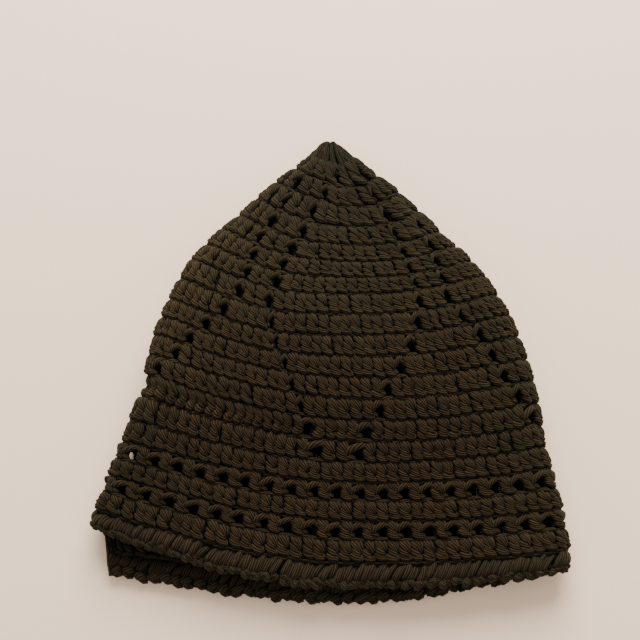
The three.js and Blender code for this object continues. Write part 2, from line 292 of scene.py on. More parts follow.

# Painted shade on some strands, as their share of light where it differs from the rest: the web painted
# darker as the shade in the chinks behind the strands, and the first round's rays and starting loop painted
# darker as the shade that their few gaps don't give
PAINTED_STRAND_SHADES = {"web": 0.3, "first_ray": 0.7, "second_ray": 0.6, "start_loop": 0.8}

# How loosely the stitches are made, and what a looseness of 1 shifts: a stitch and its strands across, in
# stitches, down, in rounds, and out, as a share and in mm, and how far their lightness differs at any
STITCH_LOOSENESS = 1.35
EDGE_LOOSENESS = 2.5
VARY_ACROSS = 0.03
VARY_BOW = 0.05
VARY_LEAN = 0.04
VARY_STRAND_ACROSS = 0.03
VARY_DOWN = 0.012
VARY_SLANT = 0.02
VARY_STRAND_DOWN = 0.014
VARY_HEIGHT = 0.06
VARY_OUT = 0.10
VARY_STRAND_OUT = 0.12
VARY_TONE = 0.05
VARY_STRAND_TONE = 0.08

# Painted shade: the yarn is painted darker deep in the wall, where shade falls between the strands: its
# share of light there, how much the fuzz and its painted sheen add to it, and how far out and how far in
# the yarn starts to lighten and is fully light, in mm
DEEP_SHADE = 0.18
SHEEN_LIFTS_SHADE = 0.25
DEEP_OUT = 0.1
LIGHT_OUT = 1.8
DEEP_BACK = 0.4
LIGHT_BACK = 2.0

# Painted shade: the edging keeps at least this share of painted light, from the second of these shares
# of its depth on
EDGE_LIGHT = 0.78
EDGE_LIT_FROM = 0.10
EDGE_LIT_ALL = EDGE_LIT_FROM + 0.2

# Width of an open space beside a petal, in stitches
SPACE_COLUMNS = ("round", "width")
SPACE_WIDTHS = (
    (2, 0.65),
    (8, 0.75),
    (14, 0.9),
    (15, 1.15),
    (16, 1.3),
)

# Size that a stitch is modelled at, in mm, before it is laid on its place
STITCH_WIDTH = 5.7
STITCH_DEPTH = 10.8

# The first round's strands stand this far past the solid's tip, so all rounds move down by it, in mm
TIP_ALLOWANCE = 0.87

# The under layer lies askew by this many stitches between its folds, so its eyelets lie under posts: in
# the crown towards the middle from both folds, in the band one way. The fades are shares of the way round.
UNDER_SKEW = 1.0
CROWN_SKEW_FADE = 0.025
CROWN_SKEW_TURNING = 0.08
BAND_SKEW_FADE = 0.05

# The under layer's eyelet nearest the left fold lies closed over the crown's last rounds and in one
# eyelet round of the band
CLOSED_CROWN_FROM = 14
CLOSED_ROUND = 20
CLOSED_STITCH = 78

# The eyelet on the left fold is narrower in one round: what its neighbours take of it on each side, in
# stitches
NARROW_ROUND = 18
NARROWED = 0.22

# How far the rows lie below an even spacing, in rounds, at these turns over the upper layer
ROW_SHIFT_TURNS = (0.0, 0.08, 0.16, 0.25, 0.40, 0.50)
ROW_SHIFTS = (
    (0, (0.00, 0.00, 0.00, 0.00, 0.00, 0.00)),
    (2, (0.00, 0.10, 0.05, 0.18, 0.35, 0.15)),
    (3, (0.00, 0.10, -0.05, 0.12, 0.28, 0.10)),
    (4, (0.00, 0.10, 0.15, 0.10, 0.20, 0.05)),
    (6, (0.00, 0.15, 0.25, 0.05, 0.08, 0.00)),
    (8, (0.00, 0.20, 0.35, 0.10, 0.00, 0.00)),
    (10, (0.00, 0.20, 0.30, 0.05, 0.00, 0.00)),
    (13, (0.00, 0.00, 0.00, 0.00, 0.00, 0.00)),
    (17, (0.00, -0.08, -0.05, 0.00, 0.00, 0.00)),
    (20, (-0.10, -0.20, -0.10, 0.00, 0.00, 0.00)),
    (21, (-0.05, -0.10, -0.05, 0.00, 0.00, 0.00)),
    (22, (0.00, 0.00, 0.00, 0.00, 0.00, 0.00)),
)

# How fuzzy the yarn is, with a painted sheen that paints it greener and paler, on the two folds and over
# the last part of the rim's round
FOLD_SHARPNESS = 6.0
FUZZ_SHEEN_LEFT = 0.5
FUZZ_SHEEN_RIGHT = 0.8
FUZZ_SHEEN_RIM = 0.7
RIM_FUZZ_SHEEN_FROM = ROUNDS - 0.7
RIM_FUZZ_SHEEN_ALL = ROUNDS - 0.2

# How fuzzy it is by rounds, with its painted sheen, and how light it is painted, with painted shade at
# the tip, which faces the key light, and what the left fold adds to that over the crown, as painted light,
# and over the band, with the rounds between which the one turns into the other
FUZZ_SHEEN_AND_TONE_COLUMNS = ("round", "worn", "tone")
FUZZ_SHEEN_AND_TONE = (
    (0, 0.55, 0.66),
    (3, 0.70, 0.80),
    (6, 0.85, 1.03),
    (9, 0.60, 1.06),
    (12, 0.0, 1.0),
    (16, 0.0, 1.0),
    (18, 0.0, 1.12),
    (22, 0.0, 1.12),
)
LEFT_CROWN_PAINTED_LIGHT = 0.35
LEFT_BAND_TONE = -0.14
TONE_FADE = (13, 17)

# Steps for the wall's normal, in rounds and as a share of the way round, and for its way on past the rim
STEP_ROUND = 0.3
STEP_TURN = 0.005
RIM_STEP = 0.5


def table_column(rows, names, name, at):
    """Values of a named column where its first column reads at, straight between the rows."""
    index = names.index(name)
    return np.interp(at, [row[0] for row in rows], [row[index] for row in rows])


def smooth_step(value, low, high):
    """0 below low, 1 above high, and a smooth rise between."""
    share = np.clip((value - low) / (high - low), 0, 1)
    return share * share * (3 - 2 * share)


def fold_point(side, at):
    """Outer plan point of the left or right fold at a round."""
    across = table_column(PLAN, PLAN_COLUMNS, side + "_x", at) * CAP_WIDTH
    down = -table_column(PLAN, PLAN_COLUMNS, side + "_y", at) * CAP_LENGTH
    return np.stack([across, down], -1)


def fold_centre(side, at):
    """Plan point of a fold on the middle of the wall, half a wall inside the outline."""
    along = fold_point(side, np.minimum(at + 0.5, ROUNDS)) - fold_point(side, np.maximum(at - 0.5, 0))
    along /= np.linalg.norm(along, axis=-1, keepdims=True)
    if side == "left":
        inward = np.stack([-along[..., 1], along[..., 0]], -1)
    else:
        inward = np.stack([along[..., 1], -along[..., 0]], -1)
    return fold_point(side, at) + inward * WALL / 2


def ring_point(at, turn):
    """Point on the middle of the wall, for rounds from 0 to ROUNDS."""
    turn = np.mod(turn, 1)
    left = fold_centre("left", at)
    right = fold_centre("right", at)
    low = -table_column(PLAN, PLAN_COLUMNS, "low_y", at) * CAP_LENGTH
    radius = (table_column(HEIGHT, HEIGHT_COLUMNS, "fold", at) - WALL) / 2
    width = right[..., 0] - left[..., 0]
    flat = np.maximum(width - 2 * radius, 0)
    quarter = math.pi * radius / 2
    upper = turn < 0.5
    travelled = np.where(upper, turn, 1 - turn) * 2 * (flat + 2 * quarter)
    first = np.clip(travelled / radius, 0, math.pi / 2)
    last = np.clip((travelled - quarter - flat) / radius, 0, math.pi / 2)
    in_first = travelled < quarter
    in_last = travelled > quarter + flat
    across = np.where(in_last, width - radius * (1 - np.sin(last)), radius + travelled - quarter)
    across = np.where(in_first, radius * (1 - np.cos(first)), across)
    lift = np.where(in_last, radius * np.cos(last), radius)
    lift = np.where(in_first, radius * np.sin(first), lift)
    share = across / width
    rise_left = np.clip(1 - share / LOW_POINT, 0, 1) ** RISE_LEFT
    rise_right = np.clip((share - LOW_POINT) / (1 - LOW_POINT), 0, 1) ** RISE_RIGHT
    y = low + (left[..., 1] - low) * rise_left + (right[..., 1] - low) * rise_right
    base = WALL / 2 + radius
    crest = table_column(HEIGHT, HEIGHT_COLUMNS, "crest", at)
    offset = (at - (RIDGE_ROUND - RIDGE_CLIMB * share)) / RIDGE_WIDTH
    ridge = RIDGE_HEIGHT * (1 - smooth_step(share, 0, RIDGE_REACH)) * np.exp(-offset * offset)
    z_upper = base + lift + (crest * np.sin(math.pi * share) + ridge) * lift / radius
    drop = table_column(UNDER, UNDER_COLUMNS, "drop", at) * CAP_LENGTH
    slip = table_column(UNDER, UNDER_COLUMNS, "slip", at) * CAP_LENGTH
    fade = smooth_step(share, DROP_FADE_START, DROP_FADE_END)
    at_right = smooth_step(1 - share, 0, SLIP_END)
    hang = drop * (1 - (1 - DROP_LEFT_OVER) * fade) * at_right
    y_under = y - (hang + slip * (1 - share) ** SLIP_FADE) * smooth_step(share, SLIP_START, SLIP_END)
    x = left[..., 0] + across
    return np.stack([x, np.where(upper, y, y_under), np.where(upper, z_upper, base - lift)], -1)


def tip_point():
    """Closed end of the cap, half a wall above its first round."""
    middle = (ring_point(np.array(0.0), np.array(0.0)) + ring_point(np.array(0.0), np.array(0.5))) / 2
    return middle + np.array([0, WALL / 2, 0])


def wall_point(at, turn):
    """Point on the middle of the wall, which closes over the tip below round 0 and goes on past the rim."""
    at, turn = np.broadcast_arrays(np.asarray(at, float), np.asarray(turn, float))
    inside = ring_point(np.clip(at, 0, ROUNDS), turn)
    beyond = np.maximum(at - ROUNDS, 0)[..., None]
    step = ring_point(np.full_like(at, ROUNDS), turn) - ring_point(np.full_like(at, ROUNDS - RIM_STEP), turn)
    towards = np.clip(-at, 0, 1)[..., None]
    dome = TIP_OPENING + (1 - TIP_OPENING) * (1 - towards) ** TIP_BLUNTNESS
    closed = tip_point() + (inside - tip_point()) * dome
    return np.where(at[..., None] < 0, closed, inside + beyond * step / RIM_STEP)


def place(at, turn, out):
    """Points that stand the given millimetres out from the middle of the wall."""
    along_cap = wall_point(at + STEP_ROUND, turn) - wall_point(at - STEP_ROUND, turn)
    along_round = wall_point(at, turn + STEP_TURN) - wall_point(at, turn - STEP_TURN)
    outward = np.cross(along_cap, along_round)
    outward /= np.maximum(np.linalg.norm(outward, axis=-1, keepdims=True), 1e-9)
    return wall_point(at, turn) + outward * np.asarray(out)[..., None]


def cap_shift():
    """Shift from the wall's own coordinates to the frame of the solids, in mm."""
    rounds, turns = np.meshgrid(np.arange(0.5, ROUNDS + 0.5, 0.5), np.arange(BAND_STITCHES) / BAND_STITCHES)
    points = place(rounds, turns, np.full(rounds.shape, WALL / 2)).reshape(-1, 3)
    points = np.vstack([points, tip_point()])
    middle = (points.min(0) + points.max(0)) / 2
    solid_middle = np.array((CAD_LOW + CAD_HIGH) / 2) / MM
    shift = solid_middle - middle
    shift[1] -= TIP_ALLOWANCE
    shift[2] = CAD_LOW.z / MM - points[:, 2].min()
    return shift


SHIFT = cap_shift()


def select_only(item):
    """Makes one object the only selected and the active one."""
    bpy.ops.object.select_all(action="DESELECT")
    item.select_set(True)
    bpy.context.view_layer.objects.active = item


# A strand: steps of its smooth line between two path points, how far its ends stand past the path, as a
# share of its radius, how thick they are there, as a share of it, and the radius of their closed points
PATH_STEPS = 12
END_REACH = 0.5
END_GIRTH = 0.8
END_POINT = 0.01
MERGE_DISTANCE = 0.05


def smooth_path(points, count):
    """Points spaced evenly along a smooth line through the given ones."""
    points = np.asarray(points, float)
    ends = np.vstack([2 * points[0] - points[1], points, 2 * points[-1] - points[-2]])
    line = []
    for i in range(len(points) - 1):
        a, b, c, d = ends[i:i + 4]
        for t in np.linspace(0, 1, PATH_STEPS, endpoint=False):
            line.append(0.5 * (2 * b + (c - a) * t + (2 * a - 5 * b + 4 * c - d) * t * t
                               + (3 * b - a - 3 * c + d) * t ** 3))
    line.append(points[-1])
    line = np.array(line)
    length = np.concatenate([[0], np.cumsum(np.linalg.norm(np.diff(line, axis=0), axis=1))])
    at = np.linspace(0, length[-1], count)
    return np.stack([np.interp(at, length, line[:, k]) for k in range(3)], -1), length[-1]


def model_strand(name, radius, taper, twist, sides, segments, path):
    """One strand of yarn: a grid rolled into a tube along its path, with rounded closed ends."""
    bpy.ops.object.select_all(action="DESELECT")
    bpy.ops.mesh.primitive_grid_add(x_subdivisions=sides, y_subdivisions=segments + 2, size=2)
    strand = bpy.context.object
    strand.name = name
    mesh = strand.data
    local = [(a * STITCH_WIDTH, -b * STITCH_DEPTH, c) for a, b, c in path]
    line, length = smooth_path(local, segments + 1)
    tangent = np.gradient(line, axis=0)
    tangent /= np.linalg.norm(tangent, axis=1, keepdims=True)
    reach = radius * END_REACH
    line = np.vstack([line[0] - tangent[0] * reach, line, line[-1] + tangent[-1] * reach])
    tangent = np.vstack([tangent[0], tangent, tangent[-1]])
    side = np.cross(tangent, [0.0, 0.0, 1.0])
    side /= np.linalg.norm(side, axis=1, keepdims=True)
    up = np.cross(side, tangent)
    girth = radius * (1 - taper * np.linspace(-1, 1, len(line)) ** 2)
    girth[[1, -2]] *= END_GIRTH
    girth[[0, -1]] = END_POINT
    corners = np.zeros(len(mesh.vertices) * 3)
    mesh.vertices.foreach_get("co", corners)
    corners = corners.reshape(-1, 3)
    column = np.round((corners[:, 0] + 1) / 2 * sides).astype(int)
    row = np.round((corners[:, 1] + 1) / 2 * (segments + 2)).astype(int)
    angle = 2 * math.pi * column / sides
    ring = np.cos(angle)[:, None] * side[row] + np.sin(angle)[:, None] * up[row]
    mesh.vertices.foreach_set("co", (line[row] + ring * girth[row][:, None]).ravel())
    layer = mesh.uv_layers.active
    twisted = length * twist
    for loop, entry in zip(mesh.loops, layer.data):
        entry.uv = (column[loop.vertex_index] / sides, row[loop.vertex_index] / (segments + 2) * twisted)
    bpy.ops.object.mode_set(mode="EDIT")
    bpy.ops.mesh.select_all(action="SELECT")
    bpy.ops.mesh.remove_doubles(threshold=MERGE_DISTANCE)
    bpy.ops.mesh.normals_make_consistent(inside=False)
    bpy.ops.object.mode_set(mode="OBJECT")
    return strand


def model_web(share):
    """Flat piece of yarn behind the given share of a stitch, bent with the wall once it is laid."""
    depth = STITCH_DEPTH * share
    bpy.ops.object.select_all(action="DESELECT")
    bpy.ops.mesh.primitive_cube_add(size=1, location=(STITCH_WIDTH / 2, -depth / 2, WEB_OUT))
    web = bpy.context.object
    web.name = "web"
    bpy.ops.transform.resize(value=(STITCH_WIDTH * (1 + 2 * WEB_OVERLAP), depth * (1 + WEB_OVERLAP),
                                    WEB_THICK))
    bpy.ops.object.transform_apply(location=True, rotation=True, scale=True)
    return web


def model_stitch(name, strands, web_share):
    """One stitch at the origin, joined from its strands, each vertex marked with its strand's number."""
    made = [model_strand(*strand) for strand in strands]
    if web_share > 0:
        made.append(model_web(web_share))
    for number, strand in enumerate(made):
        mark = strand.data.attributes.new("strand", "INT", "POINT")
        mark.data.foreach_set("value", [number] * len(strand.data.vertices))
        tone = strand.data.attributes.new("shade", "FLOAT", "POINT")
        # Painted shade of this strand, 1 where none is painted
        plain = PAINTED_STRAND_SHADES.get(strand.name, 1.0)
        tone.data.foreach_set("value", [plain] * len(strand.data.vertices))
    bpy.ops.object.select_all(action="DESELECT")
    for strand in made:
        strand.select_set(True)
    bpy.context.view_layer.objects.active = made[0]
    bpy.ops.object.join()
    stitch = bpy.context.object
    stitch.name = name
    return stitch


def repeat(item, count):
    """A row of copies of a stitch, as one mesh whose vertices keep the order of the copies."""
    select_only(item)
    array = item.modifiers.new("Row of stitches", "ARRAY")
    array.use_relative_offset = False
    array.use_constant_offset = True
    array.constant_offset_displace = (STITCH_WIDTH, 0, 0)
    array.count = count
    bpy.ops.object.modifier_apply(modifier=array.name)
    return item


def under_skew(at, turn):
    """Sideways shift of the under layer, in stitches, which fades out towards the folds."""
    past_fold = np.mod(turn, 1) - 0.5
    in_band = at > CROWN_END
    fade = np.where(in_band, BAND_SKEW_FADE, CROWN_SKEW_FADE)
    turning = 1 - 2 * smooth_step(past_fold, 0.25 - CROWN_SKEW_TURNING, 0.25 + CROWN_SKEW_TURNING)
    amount = UNDER_SKEW * np.where(in_band, 1.0, turning)
    return amount * smooth_step(past_fold, 0, fade) * (1 - smooth_step(past_fold, 0.5 - fade, 0.5))


def row_shift(at, turn):
    """How far a row lies below its even place, in rounds; the under layer mirrors the upper one."""
    turn = np.mod(turn, 1)
    turn = np.minimum(turn, 1 - turn)
    rounds = [row[0] for row in ROW_SHIFTS]
    shift = np.zeros(np.shape(at))
    for i, here in enumerate(ROW_SHIFT_TURNS):
        before = ROW_SHIFT_TURNS[max(i - 1, 0)]
        after = ROW_SHIFT_TURNS[min(i + 1, len(ROW_SHIFT_TURNS) - 1)]
        places = sorted({before, here, after})
        near = np.interp(turn, places, [float(spot == here) for spot in places])
        shift += near * np.interp(at, rounds, [row[1][i] for row in ROW_SHIFTS])
    return shift


def fold_share(turn, side):
    """1 on the left fold (side 1) or the right one (side -1), and less away from it."""
    return np.maximum(side * np.cos(2 * math.pi * turn), 0) ** FOLD_SHARPNESS


def worn_share(at, turn):
    """Share of fuzz and painted sheen: most over the petals, then on the folds and at the rim."""
    at_folds = np.maximum(FUZZ_SHEEN_LEFT * fold_share(turn, 1), FUZZ_SHEEN_RIGHT * fold_share(turn, -1))
    on_petals = table_column(FUZZ_SHEEN_AND_TONE, FUZZ_SHEEN_AND_TONE_COLUMNS, "worn", at)
    at_rim = FUZZ_SHEEN_RIM * smooth_step(at, RIM_FUZZ_SHEEN_FROM, RIM_FUZZ_SHEEN_ALL)
    return np.clip(np.maximum(np.maximum(at_folds, on_petals), at_rim), 0, 1)


def yarn_tone(at, turn):
    """How light the yarn is painted: painted shade at the tip, painted light on the crown's left fold alone.
    """
    left_tone = LEFT_CROWN_PAINTED_LIGHT + (LEFT_BAND_TONE - LEFT_CROWN_PAINTED_LIGHT) * smooth_step(at, *TONE_FADE)
    return table_column(FUZZ_SHEEN_AND_TONE, FUZZ_SHEEN_AND_TONE_COLUMNS, "tone", at) * (1 + left_tone * fold_share(turn, 1))


def lay_on_wall(item, cells, seed, looseness):
    """Lays each copy of a stitch on its own cell of the wall, no two quite alike."""
    count = len(cells)
    repeat(item, count)
    mesh = item.data
    corners = np.zeros(len(mesh.vertices) * 3)
    mesh.vertices.foreach_get("co", corners)
    corners = corners.reshape(count, -1, 3)
    corners[..., 0] -= (np.arange(count) * STITCH_WIDTH)[:, None]
    across = corners[..., 0] / STITCH_WIDTH
    down = -corners[..., 1] / STITCH_DEPTH
    out = corners[..., 2]
    chance = np.random.default_rng(seed)
    start = np.array([cell["start"] for cell in cells])[:, None]
    end = np.array([cell["end"] for cell in cells])[:, None]
    top = np.array([cell["top"] for cell in cells])[:, None]
    bottom = np.array([cell["bottom"] for cell in cells])[:, None]

    marks = np.zeros(len(mesh.vertices), int)
    mesh.attributes["strand"].data.foreach_get("value", marks)
    marks = marks.reshape(count, -1)
    strands = marks.max() + 1

    def vary(amount):
        return chance.normal(0, amount * looseness, (count, 1))

    def vary_strands(amount):
        return np.take_along_axis(chance.normal(0, amount * looseness, (count, strands)), marks, 1)

    # Painted shade: each point's share of light grows as it stands out of the wall, or in at its back, and
    # the edging keeps a floor of painted light over most of its depth
    past_edge = EDGE_LIGHT * (top >= BAND_END) * smooth_step(down, EDGE_LIT_FROM, EDGE_LIT_ALL)
    height = np.maximum(smooth_step(out, DEEP_OUT, LIGHT_OUT), smooth_step(-out, DEEP_BACK, LIGHT_BACK))
    height = np.maximum(height, past_edge)
    bow = np.sin(np.clip(down, 0, 1) * math.pi)
    across = (across + vary(VARY_ACROSS) + vary(VARY_BOW) * bow + vary(VARY_LEAN) * (down - 0.5)
              + vary_strands(VARY_STRAND_ACROSS))
    down = down + vary(VARY_DOWN) + vary(VARY_SLANT) * (across - 0.5) + vary_strands(VARY_STRAND_DOWN)
    out = out * (1 + vary(VARY_HEIGHT)) + vary(VARY_OUT) * bow + vary_strands(VARY_STRAND_OUT)
    turn = start + (end - start) * across
    at = top + (bottom - top) * down
    turn = turn + under_skew(at, turn) * np.array([cell["pitch"] for cell in cells])[:, None]
    at = at + row_shift(at, turn)
    # Painted shade, lifted where the fuzz and its painted sheen lie, times the painted light and shade by
    # place
    share_fuzz_sheen = worn_share(at, turn)
    deep = DEEP_SHADE + SHEEN_LIFTS_SHADE * share_fuzz_sheen
    lit = (deep + (1 - deep) * height) * yarn_tone(at, turn)
    points = (place(at, turn, out) + SHIFT) * MM
    mesh.vertices.foreach_set("co", points.ravel())
    # The shade attribute: the strand's painted shade times the painted shade by depth, the painted light and
    # shade by place and a random tone
    tone = np.zeros(len(mesh.vertices))
    mesh.attributes["shade"].data.foreach_get("value", tone)
    uneven = 1 + vary(VARY_TONE / looseness) + vary_strands(VARY_STRAND_TONE / looseness)
    tone *= (lit * uneven).ravel()
    mesh.attributes["shade"].data.foreach_set("value", tone)
    # Share of fuzz and painted sheen, which the material paints paler and greener
    worn = mesh.attributes.new("worn", "FLOAT", "POINT")
    worn.data.foreach_set("value", share_fuzz_sheen.ravel())
    mesh.attributes.remove(mesh.attributes["strand"])
    mesh.update()
    select_only(item)
    bpy.ops.object.shade_smooth()


def round_layout(round_number):
    """The eight places beside the petals, as turn, open or not and width, and the stitches after each."""
    petal = int(table_column(COUNTS, COUNT_COLUMNS, "petal", round_number))
    strip = int(table_column(COUNTS, COUNT_COLUMNS, "strip", round_number))
    half_petal = (petal + 1) / 2 / BAND_STITCHES
    at_folds = (half_petal, None, None, 0.5 - half_petal)
    upper = []
    for line, at_fold in zip(EYELET_LINES, at_folds):
        index = round_number - line["first"]
        is_open = 0 <= index < len(line["turns"])
        turn = at_fold if index >= len(line["turns"]) else line["turns"][max(index, 0)]
        width = np.interp(round_number, [row[0] for row in line["open"]], [row[1] for row in line["open"]])
        upper.append({"turn": turn, "is_open": is_open, "width": float(width)})
    under = [{**spot, "turn": 1 - spot["turn"]} for spot in reversed(upper)]
    if round_number >= CLOSED_CROWN_FROM:
        under[-1]["is_open"] = False
    return upper + under, (strip, petal) * 4


def crown_cells(round_number):
    """Stitch cells and open cells of a round of the crown."""
    stitches, spaces = [], []
    top, bottom = round_number - 1, round_number
    if round_number < PETAL_EYELET_FIRST:
        for i in range(FIRST_ROUND_STITCHES):
            start = (i - FIRST_ROUND_LEAD) / FIRST_ROUND_STITCHES
            stitches.append({"start": start, "end": start + 1 / FIRST_ROUND_STITCHES,
                             "top": TIP_TOP, "bottom": bottom + TIP_OVERLAP,
                             "pitch": 1 / FIRST_ROUND_STITCHES})
        return stitches, spaces
    spots, counts = round_layout(round_number)
    pitch = 1 / (sum(counts) + len(counts))
    full_width = float(table_column(SPACE_WIDTHS, SPACE_COLUMNS, "width", round_number))
    gaps = [(spots[(i + 1) % len(spots)]["turn"] - spot["turn"]) % 1 for i, spot in enumerate(spots)]
    steps = [gap / (count + 1) for gap, count in zip(gaps, counts)]
    for i, spot in enumerate(spots):
        width = full_width * spot["width"] if spot["is_open"] else 1.0
        spot["start"] = spot["turn"] - width * steps[i - 1] / 2
        spot["end"] = spot["turn"] + width * steps[i] / 2
    for i, spot in enumerate(spots):
        cell = {"start": spot["start"], "end": spot["end"], "top": top, "bottom": bottom, "pitch": pitch}
        if spot["is_open"]:
            spaces.append(cell)
        else:
            stitches.append(cell)
        following = spots[(i + 1) % len(spots)]["start"]
        step = ((following - spot["end"]) % 1) / counts[i]
        for k in range(counts[i]):
            start = spot["end"] + k * step
            stitches.append({"start": start, "end": start + step, "top": top, "bottom": bottom,
                             "pitch": pitch})
    return stitches, spaces


def band_cells(round_number):
    """Stitch cells and open cells of a round of the band."""
    stitches, spaces = [], []
    pitch = 1 / BAND_STITCHES
    edges = [(i - 0.5) * pitch for i in range(BAND_STITCHES + 1)]
    if round_number == NARROW_ROUND:
        edges[0] += NARROWED * pitch
        edges[1] -= NARROWED * pitch
        edges[-1] += NARROWED * pitch
    for i in range(BAND_STITCHES):
        cell = {"start": edges[i], "end": edges[i + 1], "top": round_number - 1, "bottom": round_number,
                "pitch": pitch}
        is_closed = round_number == CLOSED_ROUND and i == CLOSED_STITCH
        if round_number in BAND_EYELET_ROUNDS and i % 2 == 0 and not is_closed:
            spaces.append(cell)
        else:
            stitches.append(cell)
    return stitches, spaces


def in_layer(cell, upper):
    """Whether the middle of a cell lies in the upper layer, or in the under one."""
    turn = ((cell["start"] + cell["end"]) / 2) % 1
    return (turn < 0.5) == upper


class Signal:
    """The output of a shader node, with Python's operators for its sums."""

    def __init__(self, socket):
        self.socket = socket

    @staticmethod
    def node(tree, kind, settings=None, output=0, **inputs):
        """Adds a node: its settings first, then the values or links of its sockets by name or number."""
        node = tree.nodes.new(kind)
        for name, value in (settings or {}).items():
            setattr(node, name, value)
        for name, value in inputs.items():
            key = int(name[1:]) if name[0] == "n" and name[1:].isdigit() else name.replace("_", " ")
            if isinstance(value, Signal):
                tree.links.new(value.socket, node.inputs[key])
            else:
                node.inputs[key].default_value = value
        return Signal(node.outputs[output])

    def maths(self, operation, *values):
        """A Math node of the given operation, in the tree of this output."""
        inputs = {"n" + str(i): value for i, value in enumerate(values)}
        return Signal.node(self.socket.id_data, "ShaderNodeMath", {"operation": operation}, **inputs)

    def __add__(self, other):
        return self.maths("ADD", self, other)

    __radd__ = __add__

    def __sub__(self, other):
        return self.maths("SUBTRACT", self, other)

    def __rsub__(self, other):
        return self.maths("SUBTRACT", other, self)

    def __mul__(self, other):
        return self.maths("MULTIPLY", self, other)

    __rmul__ = __mul__

    def __pow__(self, other):
        return self.maths("POWER", self, other)

    def sine(self):
        """The sine of this output, in radians."""
        return self.maths("SINE", self)


# Yarn: scales of the noise of its fibres and of its dye, how each colour channel follows the dye, how far
# the fibres lighten and raise a ply, and its height, in metres
FIBRE_SCALE = 900.0
DYE_SCALE = 260.0
DYE_SHIFTS = (1.0, -0.1, -0.4)
FIBRE_MIX = 0.5
FIBRE_RELIEF = 0.35
PLY_HEIGHT = 0.35 * MM


def yarn_material(name, settings, light, plies, twist):
    """Matt twisted yarn: plies from the strand's UV map, with painted shade in their grooves, fine fibre,
    and from attributes the tone with its painted light and shade, and the fuzz with its painted sheen.
    """
    material = bpy.data.materials.new(name)
    material.use_nodes = True
    tree = material.node_tree
    tree.nodes.clear()
    node = Signal.node
    uv = node(tree, "ShaderNodeUVMap", {"uv_map": "UVMap"})
    around = node(tree, "ShaderNodeSeparateXYZ", output=0, Vector=uv)
    along = node(tree, "ShaderNodeSeparateXYZ", output=1, Vector=uv)
    place_in_object = node(tree, "ShaderNodeTexCoord", output=3)
    shade = node(tree, "ShaderNodeAttribute", {"attribute_name": "shade"}, output=2)
    worn = node(tree, "ShaderNodeAttribute", {"attribute_name": "worn"}, output=2)
    fibre = node(tree, "ShaderNodeTexNoise", Vector=place_in_object, Scale=FIBRE_SCALE, Detail=3.0)
    dye = node(tree, "ShaderNodeTexNoise", Vector=place_in_object, Scale=DYE_SCALE, Detail=2.0)
    warm = [part * (1 + settings.dye * shift) for part, shift in zip(light, DYE_SHIFTS)]
    cool = [part * (1 - settings.dye * shift) for part, shift in zip(light, DYE_SHIFTS)]
    raised = node(tree, "ShaderNodeMix", {"data_type": "RGBA"}, output=2,
                  n0=dye, n6=(*warm, 1), n7=(*cool, 1))
    phase = (around + along * twist) * (plies * 2 * math.pi)
    ply = phase.sine() * (0.5 - worn * settings.ply_wear) + 0.5
    mix = ply ** settings.ply_sharpness * (1 - FIBRE_MIX / 2 + fibre * FIBRE_MIX)
    # Painted shade: the grooves between the plies take the darker groove colour
    colour = node(tree, "ShaderNodeMix", {"data_type": "RGBA"}, output=2,
                  n0=mix, n6=(*settings.dark, 1), n7=raised)
    # Painted sheen: where the fuzz lies, the colour is multiplied towards the paler, greener tint
    grey = node(tree, "ShaderNodeMix", {"data_type": "RGBA", "blend_type": "MULTIPLY"}, output=2,
                n0=worn * settings.wear, n6=colour, n7=(*settings.worn_tint, 1))
    # Times the shade attribute: painted light and shade with random tone
    tint = node(tree, "ShaderNodeVectorMath", {"operation": "SCALE"}, n0=grey, Scale=shade)
    relief = ply + fibre * FIBRE_RELIEF
    normal = node(tree, "ShaderNodeBump", Strength=settings.ply_depth, Distance=PLY_HEIGHT, Height=relief)
    shader = node(tree, "ShaderNodeBsdfPrincipled", Base_Color=tint, Roughness=0.9, Specular_IOR_Level=0.12,
                  Sheen_Weight=settings.fuzz, Sheen_Roughness=0.5, Sheen_Tint=(0.9, 0.8, 0.62, 1),
                  Normal=normal)
    output = tree.nodes.new("ShaderNodeOutputMaterial")
    tree.links.new(shader.socket, output.inputs["Surface"])
    return material


